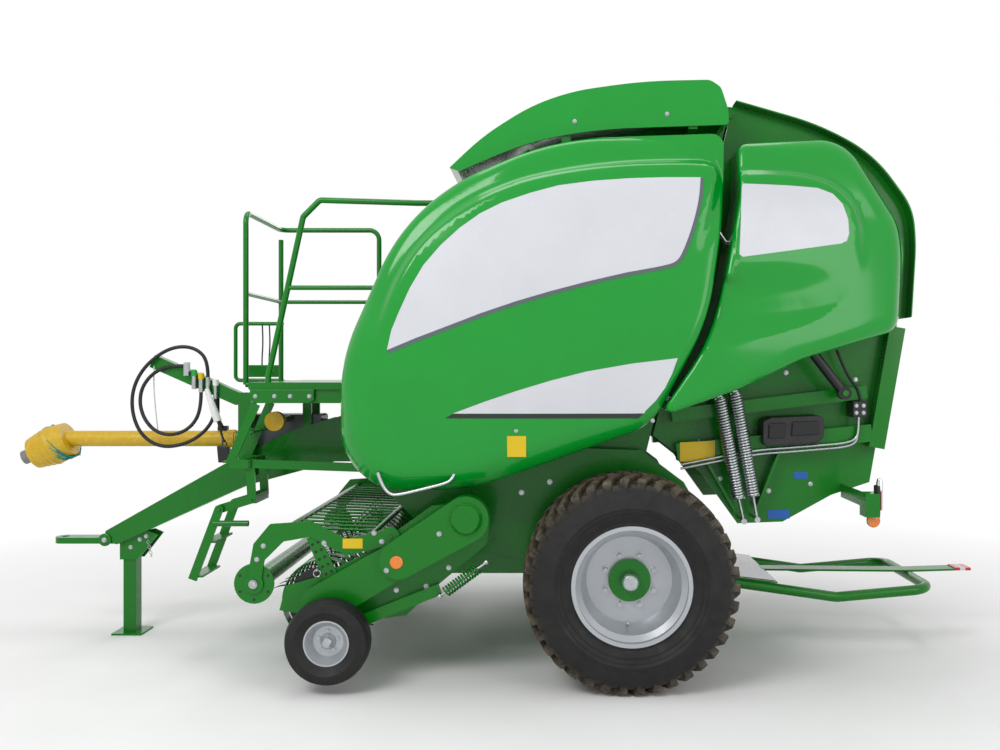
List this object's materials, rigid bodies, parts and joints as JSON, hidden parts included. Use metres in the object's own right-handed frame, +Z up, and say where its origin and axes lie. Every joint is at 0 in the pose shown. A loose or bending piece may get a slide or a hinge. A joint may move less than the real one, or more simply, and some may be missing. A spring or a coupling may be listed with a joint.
{
  "type": "round baler",
  "caption": "Towed round baler with a belt chamber, opening tailgate and side covers, lifting pick-up, folding ladder and jack.",
  "frame": {"origin": "on the ground under the middle of the whole machine's length and width", "axes": "+X to the rear of the machine, +Y to its right hand side, +Z up"},
  "size_m": [6.0487, 2.64, 3.2726],
  "materials": {
    "tyre": "moulded tyre rubber",
    "silver_paint": "satin silver lacquer",
    "green_paint": "gloss green powder coat",
    "white_paint": "gloss white powder coat",
    "grey_paint": "satin slate grey powder coat",
    "black_paint": "satin black paint",
    "yellow_plastic": "moulded guard plastic",
    "bright_steel": "zinc plated or bare steel",
    "chrome_rod": "hard chromed rod",
    "hose_rubber": "hydraulic hose cover",
    "belt_rubber": "woven belt rubber",
    "lamp_plastic": "moulded lamp lens"
  },
  "bodies": {
    "base": {"drawbar": "green_paint", "axle_beam": "black_paint", "chassis": "green_paint", "gearbox": "grey_paint", "shaft_guards": "yellow_plastic", "shaft_yoke": "bright_steel", "chamber": "green_paint", "cover_arms": "green_paint", "cylinder_forks": "green_paint", "rotor_housing": "green_paint", "front_hood": "green_paint", "spoiler": "green_paint", "platform": "green_paint", "platform_rails": "green_paint", "ladder_upper": "green_paint", "hose_arm": "green_paint", "couplers": "bright_steel", "hose_supply": "hose_rubber", "hose_return": "hose_rubber", "shaft_stay": "black_paint"},
    "wheel_left": {"tyre_left": "tyre", "rim_left": "silver_paint", "hub_left": "green_paint"},
    "wheel_right": {"tyre_right": "tyre", "rim_right": "silver_paint", "hub_right": "green_paint"},
    "jack_leg": {"jack": "green_paint"},
    "kicker_hoop": {"kicker": "green_paint"},
    "ladder_foot": {"ladder_lower": "green_paint"},
    "tailgate": {"tailgate_walls": "green_paint", "tailgate_shell": "green_paint", "tailgate_rollers": "bright_steel", "tailgate_belts": "belt_rubber", "tailgate_springs": "bright_steel", "tail_lamps": "lamp_plastic", "rear_covers": "green_paint"},
    "cylinder_left": {"cylinder_barrel_left": "black_paint"},
    "cylinder_right": {"cylinder_barrel_right": "black_paint"},
    "rod_left": {"cylinder_rod_left": "chrome_rod"},
    "rod_right": {"cylinder_rod_right": "chrome_rod"},
    "cover_left": {"front_cover_left": "green_paint"},
    "cover_right": {"front_cover_right": "green_paint"},
    "pickup": {"pickup_frame": "green_paint", "stripper_bands": "green_paint", "chain_covers": "green_paint", "gauge_arms": "green_paint"},
    "tine_reel": {"reel": "black_paint"},
    "gauge_wheel_left": {"gauge_tyre_left": "tyre", "gauge_rim_left": "silver_paint"},
    "gauge_wheel_right": {"gauge_tyre_right": "tyre", "gauge_rim_right": "silver_paint"},
    "guard": {"crop_guard": "green_paint"},
    "guard_roller": {"crop_roller": "green_paint"}
  },
  "joints": [
    {"name": "wheel_spin_left", "type": "hinge", "parent": "base", "child": "wheel_left", "pos_m": [0.782, -1.07, 0.565], "axis": [0, 1, 0], "continuous": true},
    {"name": "wheel_spin_right", "type": "hinge", "parent": "base", "child": "wheel_right", "pos_m": [0.782, 1.07, 0.565], "axis": [0, 1, 0], "continuous": true},
    {"name": "jack_fold", "type": "hinge", "parent": "base", "child": "jack_leg", "pos_m": [-2.31, 0, 0.505], "axis": [0, -1, 0], "range_deg": [0, 90]},
    {"name": "kicker_swing", "type": "hinge", "parent": "base", "child": "kicker_hoop", "pos_m": [1, 0, 0.5], "axis": [0, 1, 0], "range_deg": [0, 9]},
    {"name": "ladder_fold", "type": "hinge", "parent": "base", "child": "ladder_foot", "pos_m": [-1.542, -0.4975, 0.874], "axis": [0, 1, 0], "range_deg": [0, 120]},
    {"name": "tailgate_open", "type": "hinge", "parent": "base", "child": "tailgate", "pos_m": [1.39, 0, 3.145], "axis": [0, -1, 0], "range_deg": [0, 50]},
    {"name": "cylinder_swing_left", "type": "hinge", "parent": "tailgate", "child": "cylinder_left", "pos_m": [1.993, -0.85, 1.548], "axis": [0, -1, 0], "range_deg": [-5, 15]},
    {"name": "rod_slide_left", "type": "slide", "parent": "cylinder_left", "child": "rod_left", "axis": [-0.6129, 0, 0.7901], "range_m": [0, 0.56]},
    {"name": "cylinder_swing_right", "type": "hinge", "parent": "tailgate", "child": "cylinder_right", "pos_m": [1.993, 0.85, 1.548], "axis": [0, -1, 0], "range_deg": [-5, 15]},
    {"name": "rod_slide_right", "type": "slide", "parent": "cylinder_right", "child": "rod_right", "axis": [-0.6129, 0, 0.7901], "range_m": [0, 0.56]},
    {"name": "cover_swing_left", "type": "hinge", "parent": "base", "child": "cover_left", "pos_m": [0.8, -0.905, 2.915], "axis": [-1, 0, 0], "range_deg": [0, 60]},
    {"name": "cover_swing_right", "type": "hinge", "parent": "base", "child": "cover_right", "pos_m": [0.8, 0.905, 2.915], "axis": [1, 0, 0], "range_deg": [0, 60]},
    {"name": "pickup_lift", "type": "hinge", "parent": "base", "child": "pickup", "pos_m": [-0.08, 0, 0.894], "axis": [0, 1, 0], "range_deg": [-4.4, 12]},
    {"name": "reel_spin", "type": "hinge", "parent": "pickup", "child": "tine_reel", "pos_m": [-0.854, 0, 0.434], "axis": [0, 1, 0], "continuous": true},
    {"name": "gauge_spin_left", "type": "hinge", "parent": "pickup", "child": "gauge_wheel_left", "pos_m": [-0.787, -1.222, 0.273], "axis": [0, 1, 0], "continuous": true},
    {"name": "gauge_spin_right", "type": "hinge", "parent": "pickup", "child": "gauge_wheel_right", "pos_m": [-0.787, 1.222, 0.273], "axis": [0, 1, 0], "continuous": true},
    {"name": "guard_lift", "type": "hinge", "parent": "pickup", "child": "guard", "pos_m": [-0.49, 0, 0.788], "axis": [0, -1, 0], "range_deg": [-20, 0]},
    {"name": "roller_spin", "type": "hinge", "parent": "guard", "child": "guard_roller", "pos_m": [-1.218, 0, 0.536], "axis": [0, 1, 0], "continuous": true}
  ],
  "couplings": [
    {"joint": "cylinder_swing_left", "follows": "tailgate_open", "ratio": 0.11034},
    {"joint": "rod_slide_left", "follows": "tailgate_open", "m_per_rad": 0.63521},
    {"joint": "cylinder_swing_right", "follows": "tailgate_open", "ratio": 0.11034},
    {"joint": "rod_slide_right", "follows": "tailgate_open", "m_per_rad": 0.63521}
  ]
}
